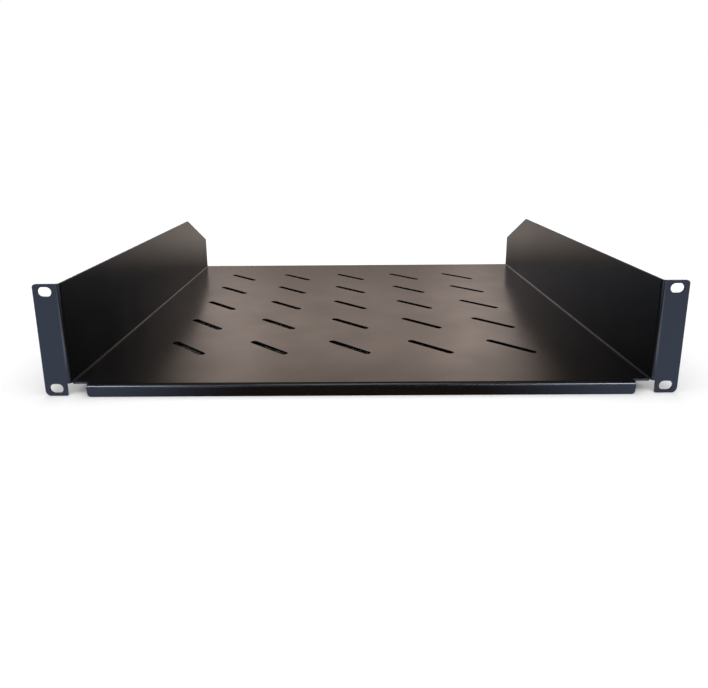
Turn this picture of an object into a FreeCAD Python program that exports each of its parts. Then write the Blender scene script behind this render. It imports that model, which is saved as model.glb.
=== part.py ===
"""Cantilever shelf for a 19-inch rack, two rack units high, made from one sheet of steel.

The sheet is punched flat and then folded five times: a side wall up from each long edge of
the tray, a rack ear outwards from the front of each wall, and a lip down from the front of
the tray.  Nothing is welded or screwed on, so the shelf is a single solid.

Frame, in millimetres: the origin is the centre of the four ear slots, on the plane where the
back of the ears seats against the rack's front rails.  +X is to the right seen from the
front, +Y is into the rack and +Z is up.
"""
import math
import os

import FreeCAD
import Part

# Sheet
SHEET = 1.5  # thickness of the steel
BEND_RADIUS = 1.5  # inside radius of every fold
NEUTRAL_SHARE = 0.44  # how deep into the thickness a fold keeps its flat length
RELIEF_RADIUS = 1.0  # round hole where the wall's fold ends beside the ear

# Tray and side walls
BODY_WIDTH = 445.5  # over the outside of the two walls
BODY_DEPTH = 450.0  # from the front of the ears to the tray's rear edge
TRAY_RISE = 10.0  # from the foot of the ears up to the tray's upper face
BEVEL_DEPTH = 90.0  # cut-off rear corner of each wall, measured along the wall
BEVEL_DROP = 38.0  # the same corner, measured downwards
BEVEL_CORNER = 2.0  # rounding at the two ends of the bevel

# Rack ears
EAR_HEIGHT = 88.1  # two rack units of 44.45 less the usual gap to the next panel
EAR_WIDTH = 18.55  # from the wall's outer face; with BODY_WIDTH it makes the 482.6 panel
EAR_TOP_CORNER = 2.5  # rounding of the outer upper corner
EAR_FOOT_CORNER = 4.5  # rounding of the outer lower corner
EAR_INNER_CORNER = 0.8  # rounding of the foot's inner corner
EAR_SLOT_INSET = 8.75  # from the ear's outer edge to a slot's centre; gives 465.1 across
EAR_SLOT_MARGIN = 5.95  # from the ear's top or foot to a slot's centre; gives 76.2 in height
EAR_SLOT_LENGTH = 10.4  # over its round ends, across the ear
EAR_SLOT_WIDTH = 7.4
FOOT_SETBACK = 0.2  # from the end of the ear's fold to the inner edge of the ear's foot

# Front lip
LIP_PROUD = 2.5  # how far the lip's face stands in front of the ears
LIP_CORNER = 3.2  # rounding of its two lower corners
LIP_SLIT = 3.0  # slit punched in the flat sheet between the ear's foot and the lip
LIP_LAP = 5.0  # how far the lip's strip is carried back over the tray, in the same sheet

# Vent slots in the tray
VENT_COLUMNS = 5
VENT_ROWS = 5
VENT_PITCH_ACROSS = 72.0
VENT_PITCH_DEEP = 72.0
VENT_LENGTH = 50.0  # over its round ends
VENT_WIDTH = 6.5
VENT_ANGLE = -45.0  # degrees from +X: each slot runs from rear left to front right
VENT_SHIFT = -8.8  # the whole pattern sits this far to the left of the middle

# Levels and planes that follow from the sizes above
OUTER_RADIUS = BEND_RADIUS + SHEET
EAR_TOP = EAR_HEIGHT / 2
EAR_FOOT = -EAR_HEIGHT / 2
EAR_FRONT = -SHEET
EAR_EDGE = BODY_WIDTH / 2 + EAR_WIDTH
TRAY_TOP = EAR_FOOT + TRAY_RISE
TRAY_UNDER = TRAY_TOP - SHEET
TRAY_FRONT = BEND_RADIUS  # where the ear's fold has turned fully into the wall
TRAY_REAR = EAR_FRONT + BODY_DEPTH
WALL_OUTER = BODY_WIDTH / 2
WALL_INNER = WALL_OUTER - SHEET
LIP_FRONT = EAR_FRONT - LIP_PROUD

FOOT_EDGE = WALL_INNER + OUTER_RADIUS + FOOT_SETBACK

# In the flat sheet the ear's foot lies in front of the tray, beside the strip that becomes the
# lip, so the foot's length there settles where the lip ends.  The cut that frees the foot
# stops on the middle line of the wall's fold.
FOLD_LENGTH = math.pi / 2 * (BEND_RADIUS + NEUTRAL_SHARE * SHEET)
EAR_FOLD_END = TRAY_TOP + BEND_RADIUS - FOLD_LENGTH / 2
FOOT_END_IN_BLANK = WALL_INNER - BEND_RADIUS + FOLD_LENGTH - (TRAY_RISE + BEND_RADIUS)
LIP_END = FOOT_END_IN_BLANK - LIP_SLIT

CUT = 5.0  # how far a cutting tool reaches past the sheet on each side


def across(y):
    """Place (x, z) pairs on the upright plane at depth y."""
    return lambda x, z: FreeCAD.Vector(x, y, z)


def along(x):
    """Place (y, z) pairs on the upright plane at x."""
    return lambda y, z: FreeCAD.Vector(x, y, z)


def level(z):
    """Place (x, y) pairs on the level plane at height z."""
    return lambda x, y: FreeCAD.Vector(x, y, z)


def direction(start, end):
    """Unit step from one (u, v) pair to another."""
    run = math.hypot(end[0] - start[0], end[1] - start[1])
    return (end[0] - start[0]) / run, (end[1] - start[1]) / run


def turn_angle(before, corner, after):
    """Angle that a path turns through at a corner, positive to the left."""
    into = direction(before, corner)
    out = direction(corner, after)
    return math.atan2(into[0] * out[1] - into[1] * out[0], into[0] * out[0] + into[1] * out[1])


def rounded_corner(before, corner, after, radius):
    """Start, middle and end of the arc that rounds one corner of a path."""
    into = direction(before, corner)
    out = direction(corner, after)
    half_turn = abs(turn_angle(before, corner, after)) / 2
    reach = radius * math.tan(half_turn)
    sagitta = radius * (1 / math.cos(half_turn) - 1)
    inward = direction((0, 0), (out[0] - into[0], out[1] - into[1]))
    start = (corner[0] - into[0] * reach, corner[1] - into[1] * reach)
    middle = (corner[0] + inward[0] * sagitta, corner[1] + inward[1] * sagitta)
    end = (corner[0] + out[0] * reach, corner[1] + out[1] * reach)
    return start, middle, end


def closed_face(points, radii, place):
    """Flat face inside a closed path, with each corner rounded by its own radius."""
    stops = []
    for index, corner in enumerate(points):
        before = points[index - 1]
        after = points[(index + 1) % len(points)]
        if radii[index] > 0:
            stops.append(rounded_corner(before, corner, after, radii[index]))
        else:
            stops.append((corner, None, corner))
    edges = []
    for index, (start, middle, end) in enumerate(stops):
        if middle is not None:
            edges.append(Part.Arc(place(*start), place(*middle), place(*end)).toShape())
        next_start = stops[(index + 1) % len(stops)][0]
        edges.append(Part.LineSegment(place(*end), place(*next_start)).toShape())
    return Part.Face(Part.Wire(edges))


def shifted_path(points, distance):
    """Open path moved sideways, to its left for a positive distance."""
    moved = []
    for index, point in enumerate(points):
        before = points[max(index - 1, 0)]
        after = points[min(index + 1, len(points) - 1)]
        into = direction(before, point) if index > 0 else direction(point, after)
        out = direction(point, after) if index < len(points) - 1 else into
        stretch = distance / (1 + into[0] * out[0] + into[1] * out[1])
        shift = (-(into[1] + out[1]) * stretch, (into[0] + out[0]) * stretch)
        moved.append((point[0] + shift[0], point[1] + shift[1]))
    return moved


def folded_face(points, place):
    """Section of the sheet that follows an open path along its middle, folded at each bend."""
    turns = [0.0]
    for index in range(1, len(points) - 1):
        turns.append(turn_angle(*points[index - 1:index + 2]))
    turns.append(0.0)
    left_radii = [BEND_RADIUS if turn > 0 else OUTER_RADIUS for turn in turns]
    right_radii = [OUTER_RADIUS if turn > 0 else BEND_RADIUS for turn in turns]
    left_radii[0] = left_radii[-1] = right_radii[0] = right_radii[-1] = 0.0
    left = shifted_path(points, SHEET / 2)
    right = shifted_path(points, -SHEET / 2)
    return closed_face(left + right[::-1], left_radii + right_radii[::-1], place)


def slot_face(length, width, place):
    """Slot outline with round ends, centred on the origin and lying along its first axis."""
    straight = (length - width) / 2
    radius = width / 2
    edges = []
    for side in (1, -1):
        start = place(-side * straight, side * radius)
        turn = place(side * straight, side * radius)
        tip = place(side * (straight + radius), 0)
        end = place(side * straight, -side * radius)
        edges.append(Part.LineSegment(start, turn).toShape())
        edges.append(Part.Arc(turn, tip, end).toShape())
    return Part.Face(Part.Wire(edges))


def both_sides(shape):
    """A shape made for the right-hand side, and its mirror image on the left."""
    return [shape, shape.mirror(FreeCAD.Vector(0, 0, 0), FreeCAD.Vector(1, 0, 0))]


def make_channel():
    """Tray with its two side walls, folded as one trough and cut to the walls' outline."""
    wall_middle = WALL_OUTER - SHEET / 2
    tray_middle = TRAY_TOP - SHEET / 2
    path = [
        (-wall_middle, EAR_TOP),
        (-wall_middle, tray_middle),
        (wall_middle, tray_middle),
        (wall_middle, EAR_TOP),
    ]
    trough = folded_face(path, across(TRAY_FRONT))
    trough = trough.extrude(FreeCAD.Vector(0, TRAY_REAR - TRAY_FRONT, 0))
    outline = [
        (TRAY_FRONT, TRAY_UNDER),
        (TRAY_REAR, TRAY_UNDER),
        (TRAY_REAR, EAR_TOP - BEVEL_DROP),
        (TRAY_REAR - BEVEL_DEPTH, EAR_TOP),
        (TRAY_FRONT, EAR_TOP),
    ]
    side_view = closed_face(outline, [0, 0, BEVEL_CORNER, BEVEL_CORNER, 0], along(-WALL_OUTER))
    trough = trough.common(side_view.extrude(FreeCAD.Vector(BODY_WIDTH, 0, 0)))
    return trough.cut(both_sides(make_fold_relief()))


def make_fold_relief():
    """Round hole through the wall's fold at its front end, square to the folded sheet."""
    fold_centre = FreeCAD.Vector(WALL_INNER - BEND_RADIUS, TRAY_FRONT, TRAY_TOP + BEND_RADIUS)
    return Part.makeCylinder(RELIEF_RADIUS, OUTER_RADIUS + CUT, fold_centre, FreeCAD.Vector(1, 0, -1))


def make_ear():
    """Right-hand rack ear: the fold out of the wall, and the flat ear with its foot and slots."""
    wall_middle = WALL_OUTER - SHEET / 2
    slot_x = EAR_EDGE - EAR_SLOT_INSET
    path = [(wall_middle, TRAY_FRONT), (wall_middle, -SHEET / 2), (slot_x, -SHEET / 2)]
    fold = folded_face(path, level(EAR_FOLD_END))
    fold = fold.extrude(FreeCAD.Vector(0, 0, EAR_TOP - EAR_FOLD_END))
    outline = [(FOOT_EDGE, EAR_FOOT), (EAR_EDGE, EAR_FOOT), (EAR_EDGE, EAR_TOP), (FOOT_EDGE, EAR_TOP)]
    corners = [EAR_INNER_CORNER, EAR_FOOT_CORNER, EAR_TOP_CORNER, 0]
    plate = closed_face(outline, corners, across(EAR_FRONT)).extrude(FreeCAD.Vector(0, SHEET, 0))
    slot = slot_face(EAR_SLOT_LENGTH, EAR_SLOT_WIDTH, across(EAR_FRONT - CUT))
    tool = slot.extrude(FreeCAD.Vector(0, SHEET + 2 * CUT, 0))
    slot_height = EAR_TOP - EAR_SLOT_MARGIN
    tools = [tool.translated(FreeCAD.Vector(slot_x, 0, z)) for z in (slot_height, -slot_height)]
    return fold.fuse(plate).cut(tools)


def make_lip():
    """Front lip: the tray carried forward between the ears and folded down to their foot."""
    tray_middle = TRAY_TOP - SHEET / 2
    lip_middle = LIP_FRONT + SHEET / 2
    root = TRAY_FRONT + LIP_LAP
    path = [(root, tray_middle), (lip_middle, tray_middle), (lip_middle, EAR_FOOT)]
    lip = folded_face(path, along(-LIP_END)).extrude(FreeCAD.Vector(2 * LIP_END, 0, 0))
    outline = [(-LIP_END, EAR_FOOT), (LIP_END, EAR_FOOT), (LIP_END, TRAY_TOP), (-LIP_END, TRAY_TOP)]
    front_view = closed_face(outline, [LIP_CORNER, LIP_CORNER, 0, 0], across(LIP_FRONT))
    return lip.common(front_view.extrude(FreeCAD.Vector(0, root - LIP_FRONT, 0)))


def make_vent_tools():
    """Cutting tools for the slanted vent slots, a square pattern centred on the depth."""
    slot = slot_face(VENT_LENGTH, VENT_WIDTH, level(TRAY_UNDER - CUT))
    tool = slot.extrude(FreeCAD.Vector(0, 0, SHEET + 2 * CUT))
    tool.rotate(FreeCAD.Vector(0, 0, 0), FreeCAD.Vector(0, 0, 1), VENT_ANGLE)
    middle_y = (EAR_FRONT + TRAY_REAR) / 2
    tools = []
    for row in range(VENT_ROWS):
        y = middle_y + (row - (VENT_ROWS - 1) / 2) * VENT_PITCH_DEEP
        for column in range(VENT_COLUMNS):
            x = VENT_SHIFT + (column - (VENT_COLUMNS - 1) / 2) * VENT_PITCH_ACROSS
            tools.append(tool.translated(FreeCAD.Vector(x, y, 0)))
    return tools


def make_shelf():
    """The whole folded sheet as one solid."""
    body = make_channel().fuse(both_sides(make_ear()) + [make_lip()])
    return body.cut(make_vent_tools()).removeSplitter()


os.makedirs("parts", exist_ok=True)
shelf = make_shelf()
shelf.exportStep("parts/folded_shelf.step")
print("solids", len(shelf.Solids), "valid", shelf.isValid(), "volume cm3", round(shelf.Volume / 1000, 2))
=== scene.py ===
"""Finish, floor, light and camera for a folded-steel cantilever rack shelf.

The shelf is one sheet of steel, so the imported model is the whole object.  This script gives
it its powder coat, stands it on a pale floor under soft light and sets the camera.
"""

import logging
import math
from dataclasses import dataclass
from enum import Enum
from typing import Any

import bpy
from mathutils import Matrix, Vector


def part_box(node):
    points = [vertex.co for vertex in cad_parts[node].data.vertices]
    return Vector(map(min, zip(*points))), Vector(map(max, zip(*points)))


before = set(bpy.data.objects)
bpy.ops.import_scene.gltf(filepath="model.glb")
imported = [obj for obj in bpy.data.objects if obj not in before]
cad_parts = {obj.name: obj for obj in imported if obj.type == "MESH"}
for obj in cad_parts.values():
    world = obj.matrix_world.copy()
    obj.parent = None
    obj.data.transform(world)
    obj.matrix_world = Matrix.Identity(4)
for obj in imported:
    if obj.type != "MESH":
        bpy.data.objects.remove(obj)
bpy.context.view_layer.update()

MM = 0.001  # one millimetre in metres
COLOUR_A, COLOUR_B, COLOUR_OUT = 6, 7, 2  # a colour Mix node's sockets, whose names repeat
LOG = logging.getLogger("rack_shelf")


class Ray(Enum):
    """Kinds of light path that the studio answers in its own way."""

    CAMERA = "Is Camera Ray"
    GLOSSY = "Is Glossy Ray"
    TRANSMISSION = "Is Transmission Ray"


def linear(hex_colour: str) -> tuple[float, float, float, float]:
    """Turn an sRGB hex colour into linear light.

    Args:
        hex_colour: Colour such as "#1c1c1e".

    Returns:
        Linear red, green and blue, and an alpha of 1.
    """
    channels = [int(hex_colour[place:place + 2], 16) / 255 for place in (1, 3, 5)]
    light = [c / 12.92 if c <= 0.04045 else ((c + 0.055) / 1.055) ** 2.4 for c in channels]
    return light[0], light[1], light[2], 1.0


def add_node(
    tree: bpy.types.NodeTree,
    kind: str,
    values: dict[str | int, Any] | None = None,
    links: dict[str | int, bpy.types.NodeSocket] | None = None,
    **settings: Any,
) -> bpy.types.Node:
    """Add one shader node, with its settings, its fixed inputs and its links.

    Args:
        tree: Node tree that the node is added to.
        kind: Blender's name for the node type.
        values: Value for each input that isn't linked, by name or place.
        links: Output that feeds each linked input, by name or place.
        **settings: Attributes of the node itself.

    Returns:
        The new node.
    """
    node = tree.nodes.new(kind)
    for attribute, value in settings.items():
        setattr(node, attribute, value)
    for key, value in (values or {}).items():
        node.inputs[key].default_value = value
    for key, output in (links or {}).items():
        tree.links.new(output, node.inputs[key])
    return node


def new_tree(owner: bpy.types.Material | bpy.types.World) -> bpy.types.NodeTree:
    """Give a material or a world an empty node tree and return it."""
    owner.use_nodes = True
    owner.node_tree.nodes.clear()
    return owner.node_tree


@dataclass(frozen=True)
class PowderCoat:
    """Satin black polyester powder coat: sprayed on as a dry powder, then baked until it flows.

    It reads as near black where it faces the eye and takes a broad soft sheen of the room where
    it is seen at a slant.  The powder doesn't level out fully, which leaves a faint orange peel.
    """

    name: str = "satin_black_powder_coat"
    colour: str = "#09090a"
    colour_thin: str = "#0d0d0e"  # where the coat came out a little thinner
    ior: float = 1.5  # cured polyester
    roughness: float = 0.21  # satin
    roughness_drift: float = 0.03  # how far handling and spraying move the sheen
    drift_size: float = 55 * MM  # size of the patches of that drift
    drift_range: tuple[float, float] = (0.3, 0.7)  # the noise values that count as its two ends
    drift_detail: float = 3.0  # finer layers of noise in the patches
    peel_size: float = 2.4 * MM  # orange peel; the real one is about 1.5 mm, drawn coarser to show
    peel_height: float = 0.006 * MM
    grain_size: float = 0.8 * MM  # powder grain; the real one is about 0.1 mm, drawn coarser to show
    grain_height: float = 0.003 * MM
    relief_detail: float = 1.0  # finer layers of noise in the orange peel and the grain
    edge_radius: float = 0.3 * MM  # the baked coat draws round over the sheet's cut edges
    edge_samples: int = 6

    def build(self) -> bpy.types.Material:
        """Make the material."""
        material = bpy.data.materials.new(self.name)
        tree = new_tree(material)
        place = add_node(tree, "ShaderNodeTexCoord").outputs["Object"]
        drift = add_node(
            tree, "ShaderNodeTexNoise", links={"Vector": place},
            values={"Scale": 1 / self.drift_size, "Detail": self.drift_detail},
        ).outputs["Fac"]
        lowest, highest = self.drift_range
        roughness = add_node(
            tree, "ShaderNodeMapRange", links={"Value": drift},
            values={
                "From Min": lowest,
                "From Max": highest,
                "To Min": self.roughness - self.roughness_drift,
                "To Max": self.roughness + self.roughness_drift,
            },
        )
        colour = add_node(
            tree, "ShaderNodeMix", data_type="RGBA", links={"Factor": drift},
            values={COLOUR_A: linear(self.colour), COLOUR_B: linear(self.colour_thin)},
        )
        edge = add_node(
            tree, "ShaderNodeBevel", samples=self.edge_samples, values={"Radius": self.edge_radius}
        )
        peel = self._relief(tree, place, self.peel_size, self.peel_height, edge.outputs["Normal"])
        grain = self._relief(tree, place, self.grain_size, self.grain_height, peel)
        shader = add_node(
            tree, "ShaderNodeBsdfPrincipled",
            values={"IOR": self.ior, "Metallic": 0.0},
            links={
                "Base Color": colour.outputs[COLOUR_OUT],
                "Roughness": roughness.outputs["Result"],
                "Normal": grain,
            },
        )
        add_node(tree, "ShaderNodeOutputMaterial", links={"Surface": shader.outputs["BSDF"]})
        return material

    def _relief(
        self,
        tree: bpy.types.NodeTree,
        place: bpy.types.NodeSocket,
        size: float,
        height: float,
        normal: bpy.types.NodeSocket,
    ) -> bpy.types.NodeSocket:
        """Raise a random relief on the coat.

        Args:
            tree: The material's node tree.
            place: Position on the sheet.
            size: Size of the relief's bumps.
            height: Their height.
            normal: The surface's direction before the relief.

        Returns:
            The surface's direction with the relief.
        """
        bumps = add_node(
            tree, "ShaderNodeTexNoise", links={"Vector": place},
            values={"Scale": 1 / size, "Detail": self.relief_detail},
        )
        relief = add_node(
            tree, "ShaderNodeBump", values={"Distance": height},
            links={"Height": bumps.outputs["Fac"], "Normal": normal},
        )
        return relief.outputs["Normal"]


@dataclass(frozen=True)
class FloorPaper:
    """Matt white paper, rolled out as the studio floor.

    It is plain white to the eye.  The shelf's sheen picks up a toned floor instead: cool in front
    of the shelf, shaded in the middle there, where the person at the camera stands in the light,
    and a painted pool of light before each of the two ears.  Under the tray it carries painted
    shade, and behind the shelf it is warm and brighter.
    """

    name: str = "white_studio_paper"
    colour: str = "#ffffff"
    glow: float = 3.2  # light of the tones, which only the sheen sees
    shade_tone: str = "#342619"  # in front, in the middle
    front_tone: str = "#8c9ab6"  # in front, at the sides
    lit_tone: str = "#dce6fa"  # painted pool of light in front, in a patch before each ear
    tray_shade_tone: str = "#090707"  # painted shade under the tray
    rear_tone: str = "#7d746e"  # behind the shelf
    # Where a tone starts and where it is full, aside of the shelf's middle.
    front_aside: tuple[float, float] = (80 * MM, 240 * MM)
    lit_aside: tuple[float, float] = (100 * MM, 160 * MM)
    lit_outside: tuple[float, float] = (250 * MM, 220 * MM)
    # The same, behind the rack's seat plane.
    lit_depth: tuple[float, float] = (-60 * MM, -100 * MM)
    tray_shade_depth: tuple[float, float] = (-10 * MM, 30 * MM)
    rear_depth: tuple[float, float] = (300 * MM, 800 * MM)

    def build(self) -> bpy.types.Material:
        """Make the material."""
        material = bpy.data.materials.new(self.name)
        tree = new_tree(material)
        place = add_node(tree, "ShaderNodeNewGeometry").outputs["Position"]
        paper = add_node(tree, "ShaderNodeBsdfDiffuse", values={"Color": linear(self.colour)})
        toned = add_node(
            tree, "ShaderNodeEmission",
            values={"Strength": self.glow}, links={"Color": self._tone(tree, place)},
        )
        path = add_node(tree, "ShaderNodeLightPath")
        surface = add_node(
            tree, "ShaderNodeMixShader",
            links={
                "Fac": path.outputs[Ray.GLOSSY.value],
                1: paper.outputs["BSDF"],
                2: toned.outputs["Emission"],
            },
        )
        add_node(tree, "ShaderNodeOutputMaterial", links={"Surface": surface.outputs["Shader"]})
        return material

    def _tone(
        self, tree: bpy.types.NodeTree, place: bpy.types.NodeSocket
    ) -> bpy.types.NodeSocket:
        """Colour the floor that the sheen picks up.

        Args:
            tree: The material's node tree.
            place: Position on the floor, in the shelf's own frame.

        Returns:
            The colour's socket.
        """
        axes = add_node(tree, "ShaderNodeSeparateXYZ", links={"Vector": place})
        depth = axes.outputs["Y"]
        aside = add_node(
            tree, "ShaderNodeMath", operation="ABSOLUTE", links={0: axes.outputs["X"]}
        ).outputs["Value"]
        # Each step blends in the next tone: cool front, painted pool of light before each ear,
        # painted shade under the tray, warm rear.
        steps = (
            (self.front_tone, [(aside, self.front_aside)]),
            (self.lit_tone, [
                (aside, self.lit_aside), (aside, self.lit_outside), (depth, self.lit_depth),
            ]),
            (self.tray_shade_tone, [(depth, self.tray_shade_depth)]),
            (self.rear_tone, [(depth, self.rear_depth)]),
        )
        tone = None
        for next_tone, limits in steps:
            links = {"Factor": self._within(tree, limits)}
            if tone is not None:
                links[COLOUR_A] = tone
            blend = add_node(
                tree, "ShaderNodeMix", links=links, data_type="RGBA",
                values={COLOUR_A: linear(self.shade_tone), COLOUR_B: linear(next_tone)},
            )
            tone = blend.outputs[COLOUR_OUT]
        return tone

    def _within(
        self,
        tree: bpy.types.NodeTree,
        limits: list[tuple[bpy.types.NodeSocket, tuple[float, float]]],
    ) -> bpy.types.NodeSocket:
        """Rise from 0 outside a tone's place to 1 inside it.

        Args:
            tree: The material's node tree.
            limits: Distances, each with its values where the tone starts and where it is full.

        Returns:
            The share's socket.
        """
        share = None
        for distance, (start, full) in limits:
            rise = add_node(
                tree, "ShaderNodeMapRange", interpolation_type="SMOOTHSTEP",
                links={"Value": distance}, values={"From Min": start, "From Max": full},
            ).outputs["Result"]
            if share is not None:
                rise = add_node(
                    tree, "ShaderNodeMath", operation="MULTIPLY", links={0: share, 1: rise}
                ).outputs["Value"]
            share = rise
        return share


@dataclass(frozen=True)
class Panel:
    """A soft glowing panel in the room around the shelf, as the shelf's sheen sees it."""

    name: str
    azimuth_deg: float  # 0 behind the shelf, 90 to its right, 180 behind the camera
    elevation_deg: float
    width_deg: float  # how large the panel looks from the shelf
    height_deg: float
    edge_deg: float  # how wide the panel's edge fades
    colour: str
    strength: float

    def glow(
        self, tree: bpy.types.NodeTree, direction: bpy.types.NodeSocket
    ) -> bpy.types.NodeSocket:
        """Work out the panel's light in each direction.

        Args:
            tree: The world's node tree.
            direction: Direction looked in.

        Returns:
            The light's socket.
        """
        azimuth = math.radians(self.azimuth_deg)
        centre = Vector((math.sin(azimuth), math.cos(azimuth), 0.0))
        right = Vector((math.cos(azimuth), -math.sin(azimuth), 0.0))
        lift = Matrix.Rotation(math.radians(self.elevation_deg), 3, right)
        centre, up = lift @ centre, lift @ Vector((0.0, 0.0, 1.0))
        ahead = add_node(
            tree, "ShaderNodeVectorMath", operation="DOT_PRODUCT",
            links={0: direction}, values={1: centre},
        )
        share = add_node(
            tree, "ShaderNodeMath", operation="GREATER_THAN",
            links={0: ahead.outputs["Value"]}, values={1: 0.0},
        ).outputs["Value"]
        for axis, size_deg in ((right, self.width_deg), (up, self.height_deg)):
            share = add_node(
                tree, "ShaderNodeMath", operation="MULTIPLY",
                links={0: share, 1: self._within(tree, direction, axis, size_deg)},
            ).outputs["Value"]
        light = [channel * self.strength for channel in linear(self.colour)[:3]]
        glow = add_node(
            tree, "ShaderNodeVectorMath", operation="SCALE", label=self.name,
            values={0: light}, links={"Scale": share},
        )
        return glow.outputs["Vector"]

    def _within(
        self,
        tree: bpy.types.NodeTree,
        direction: bpy.types.NodeSocket,
        axis: Vector,
        size_deg: float,
    ) -> bpy.types.NodeSocket:
        """Fade from 1 inside two opposite edges of the panel to 0 outside them.

        Args:
            tree: The world's node tree.
            direction: Direction looked in.
            axis: Direction from one of the edges to the other.
            size_deg: How far apart the edges look from the shelf.

        Returns:
            The share's socket.
        """
        lean = add_node(
            tree, "ShaderNodeVectorMath", operation="DOT_PRODUCT",
            links={0: direction}, values={1: axis},
        )
        aside = add_node(
            tree, "ShaderNodeMath", operation="ABSOLUTE", links={0: lean.outputs["Value"]}
        )
        share = add_node(
            tree, "ShaderNodeMapRange", interpolation_type="SMOOTHSTEP",
            links={"Value": aside.outputs["Value"]},
            values={
                "From Min": math.sin(math.radians((size_deg + self.edge_deg) / 2)),
                "From Max": math.sin(math.radians((size_deg - self.edge_deg) / 2)),
            },
        )
        return share.outputs["Result"]


@dataclass
class Shelf:
    """The folded sheet: tray, walls, ears and lip in one piece."""

    node: str = "folded_shelf"
    slot: str = "powder_coat"

    def dress(self, coat: PowderCoat) -> bpy.types.Object:
        """Give the sheet its coat.

        Args:
            coat: Finish of the whole sheet.

        Returns:
            The dressed piece.
        """
        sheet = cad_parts[self.node]
        finish = coat.build()
        for slot in sheet.material_slots:
            slot.link = "OBJECT"
            slot.material = finish
        return sheet

    def floor_contact(self) -> tuple[Vector, float]:
        """Find the plane that the shelf stands on.

        It stands on the feet of its ears and on the tray's rear edge, which is higher than
        the feet, so the plane rises a little towards the rear.

        Returns:
            A point on the plane under the rear edge, and the plane's slope.
        """
        low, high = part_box(self.node)
        corners = [vertex.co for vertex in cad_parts[self.node].data.vertices]
        rear_height = min(corner.z for corner in corners if high.y - corner.y < MM)
        rear = Vector(((low.x + high.x) / 2, high.y, rear_height))
        slope = max((rear.z - c.z) / (rear.y - c.y) for c in corners if rear.y - c.y > MM)
        return rear, slope


@dataclass(frozen=True)
class SoftLamp:
    """A large round lamp, far enough away to light the floor evenly."""

    name: str
    azimuth_deg: float  # 0 in front of the shelf, 90 to its right
    elevation_deg: float
    width_deg: float  # how large the lamp looks from the shelf
    strength: float

    def hang(self) -> bpy.types.Object:
        """Make the lamp and hang it in the scene."""
        light = bpy.data.lights.new(self.name, "SUN")
        light.energy = self.strength
        light.angle = math.radians(self.width_deg)
        lamp = bpy.data.objects.new(self.name, light)
        lamp.rotation_euler.x = math.radians(90 - self.elevation_deg)
        lamp.rotation_euler.z = math.radians(self.azimuth_deg)
        bpy.context.scene.collection.objects.link(lamp)
        return lamp


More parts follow.
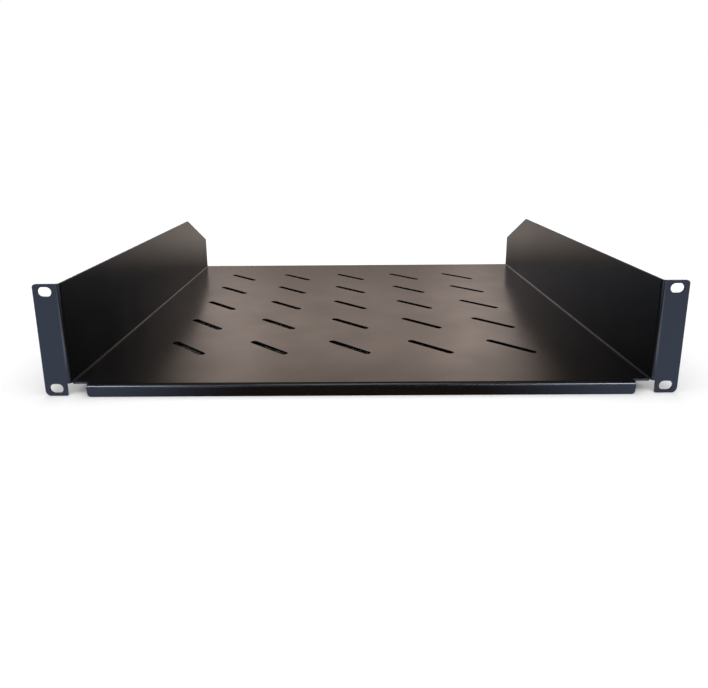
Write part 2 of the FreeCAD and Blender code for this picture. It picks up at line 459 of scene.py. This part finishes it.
@dataclass
class Studio:
    """Pale floor, one soft lamp, and surroundings that are white to the eye.

    The sheen sees a dim room with soft panels instead, because with white all round a black coat
    turns an even grey.
    """

    floor_reach: float = 40.0  # half the side of the floor, far past the camera's view
    lamp: SoftLamp = SoftLamp("high_lamp", 0.0, 62.0, 17.0, 0.36)
    background: str = "#ffffff"
    soft_light: float = 1.25  # even light from overhead
    soft_reach_deg: tuple[float, float] = (8.0, 45.0)  # heights between which it comes up
    room_tone: str = "#b8b8b8"  # the room between the panels
    room_strength: float = 0.012
    panels: tuple[Panel, ...] = (
        # Behind the shelf: the warm sheen on the tray and on the rear ends of the walls.
        Panel("rear", 0.0, 18.5, 30.0, 11.0, 9.0, "#ffe7da", 1.2),
        Panel("rear_high", 0.0, 25.0, 34.0, 4.0, 6.0, "#ffdcc0", 0.75),
        Panel("rear_left", -13.0, 20.0, 7.0, 17.0, 6.0, "#fff0e8", 0.32),
        Panel("rear_right", 13.0, 20.0, 8.0, 17.0, 6.0, "#fff0e6", 0.43),
        # Aside of those, each seen in the wall on the other side.
        Panel("horizon_left", -22.0, 1.0, 16.0, 8.0, 6.0, "#f4f0ff", 2.5),
        Panel("horizon_right", 34.0, 5.0, 26.0, 10.0, 8.0, "#d8e8ff", 0.3),
        Panel("glow_left", -27.0, 10.0, 20.0, 6.0, 6.0, "#e4f0ff", 0.65),
        Panel("glow_right", 27.0, 10.0, 20.0, 6.0, 6.0, "#e4f0ff", 0.3),
        # Behind and beside the camera: cool glints on the front folds, and the sheen as seen
        # from behind.
        Panel("lamp_left", 211.0, 30.0, 17.0, 13.0, 5.0, "#e6ecfa", 26.0),
        Panel("lamp_right", 149.0, 30.0, 17.0, 13.0, 5.0, "#e6ecfa", 26.0),
        Panel("front_left", 225.0, 22.0, 60.0, 50.0, 20.0, "#bccff6", 1.3),
        Panel("front_right", 135.0, 22.0, 60.0, 50.0, 20.0, "#bccff6", 1.3),
        # At the sides and overhead: the sheen as seen from the sides and from above.
        Panel("side_left", 270.0, 30.0, 70.0, 50.0, 30.0, "#cfcac4", 0.5),
        Panel("side_right", 90.0, 30.0, 70.0, 50.0, 30.0, "#cfcac4", 0.5),
        Panel("overhead", 180.0, 90.0, 44.0, 44.0, 24.0, "#d8d4d0", 0.5),
    )

    def lay_floor(self, shelf: Shelf, paper: FloorPaper) -> bpy.types.Object:
        """Lay the floor under the points that the shelf stands on.

        Args:
            shelf: The piece that stands on the floor.
            paper: The floor's finish.

        Returns:
            The floor.
        """
        contact, slope = shelf.floor_contact()
        reach = self.floor_reach
        corners = [(-reach, -reach), (reach, -reach), (reach, reach), (-reach, reach)]
        mesh = bpy.data.meshes.new("studio_floor")
        mesh.from_pydata([(x, y, slope * y) for x, y in corners], [], [(0, 1, 2, 3)])
        mesh.materials.append(paper.build())
        floor = bpy.data.objects.new("studio_floor", mesh)
        floor.location = contact
        bpy.context.scene.collection.objects.link(floor)
        return floor

    def surround(self) -> bpy.types.World:
        """Make the surroundings: white to the eye, even light, and a dim room for the sheen."""
        world = bpy.data.worlds.new("studio")
        tree = new_tree(world)
        path = add_node(tree, "ShaderNodeLightPath")
        direction = add_node(tree, "ShaderNodeTexCoord").outputs["Generated"]
        axes = add_node(tree, "ShaderNodeSeparateXYZ", links={"Vector": direction})
        low, high = [math.sin(math.radians(height)) for height in self.soft_reach_deg]
        overhead = add_node(
            tree, "ShaderNodeMapRange", interpolation_type="SMOOTHSTEP",
            links={"Value": axes.outputs["Z"]},
            values={"From Min": low, "From Max": high, "To Max": self.soft_light},
        )
        even = add_node(
            tree, "ShaderNodeBackground", values={"Color": linear(self.background)},
            links={"Strength": overhead.outputs["Result"]},
        )
        room = add_node(
            tree, "ShaderNodeBackground", links={"Color": self._room(tree, direction)}
        )
        plain = add_node(
            tree, "ShaderNodeBackground", values={"Color": linear(self.background)}
        )
        seen = add_node(
            tree, "ShaderNodeMath", operation="MAXIMUM",
            links={0: path.outputs[Ray.CAMERA.value], 1: path.outputs[Ray.TRANSMISSION.value]},
        )
        light = add_node(
            tree, "ShaderNodeMixShader",
            links={
                "Fac": path.outputs[Ray.GLOSSY.value],
                1: even.outputs["Background"],
                2: room.outputs["Background"],
            },
        )
        surface = add_node(
            tree, "ShaderNodeMixShader",
            links={
                "Fac": seen.outputs["Value"],
                1: light.outputs["Shader"],
                2: plain.outputs["Background"],
            },
        )
        add_node(tree, "ShaderNodeOutputWorld", links={"Surface": surface.outputs["Shader"]})
        bpy.context.scene.world = world
        return world

    def _room(
        self, tree: bpy.types.NodeTree, direction: bpy.types.NodeSocket
    ) -> bpy.types.NodeSocket:
        """Add the light of the panels to the room's even tone.

        Args:
            tree: The world's node tree.
            direction: Direction looked in.

        Returns:
            The light's socket.
        """
        tone = [channel * self.room_strength for channel in linear(self.room_tone)[:3]]
        room = add_node(tree, "ShaderNodeCombineXYZ", values=dict(zip("XYZ", tone)))
        light = room.outputs["Vector"]
        for panel in self.panels:
            light = add_node(
                tree, "ShaderNodeVectorMath", operation="ADD",
                links={0: light, 1: panel.glow(tree, direction)},
            ).outputs["Vector"]
        return light


@dataclass
class StillCamera:
    """A camera in front of the shelf and above it, looking slightly down into the tray."""

    aside: float = -0.0052  # from the shelf's middle
    stand_off: float = 0.4320  # in front of the rack's seat plane
    height: float = 0.1438  # above the middle of the ears
    pitch_deg: float = -13.635
    turn_deg: float = 0.312
    roll_deg: float = -0.44
    lens_mm: float = 30.713
    sensor_mm: float = 36.0
    shift: tuple[float, float] = (0.0059, -0.0785)

    def set_up(self) -> bpy.types.Object:
        """Place the camera and make it the scene's own."""
        optics = bpy.data.cameras.new("still_camera")
        optics.lens = self.lens_mm
        optics.sensor_width = self.sensor_mm
        optics.shift_x, optics.shift_y = self.shift
        optics.clip_start = 10 * MM
        camera = bpy.data.objects.new("still_camera", optics)
        turn = Matrix.Rotation(math.radians(self.turn_deg), 4, "Z")
        pitch = Matrix.Rotation(math.radians(90 + self.pitch_deg), 4, "X")
        roll = Matrix.Rotation(math.radians(self.roll_deg), 4, "Z")
        place = Matrix.Translation((self.aside, -self.stand_off, self.height))
        camera.matrix_world = place @ turn @ pitch @ roll
        bpy.context.scene.collection.objects.link(camera)
        bpy.context.scene.camera = camera
        return camera


def main() -> None:
    """Dress the shelf and set up the studio around it."""
    logging.basicConfig(level=logging.INFO, format="%(name)s: %(message)s")
    bpy.context.scene.view_settings.view_transform = "Standard"
    shelf = Shelf()
    coat = PowderCoat()
    LOG.info("%s dressed in %s", shelf.dress(coat).name, coat.name)
    studio = Studio()
    LOG.info("%s laid", studio.lay_floor(shelf, FloorPaper()).name)
    LOG.info("%s hung", studio.lamp.hang().name)
    LOG.info("surroundings: %s", studio.surround().name)
    LOG.info("%s set up", StillCamera().set_up().name)


if __name__ == "__main__":
    main()
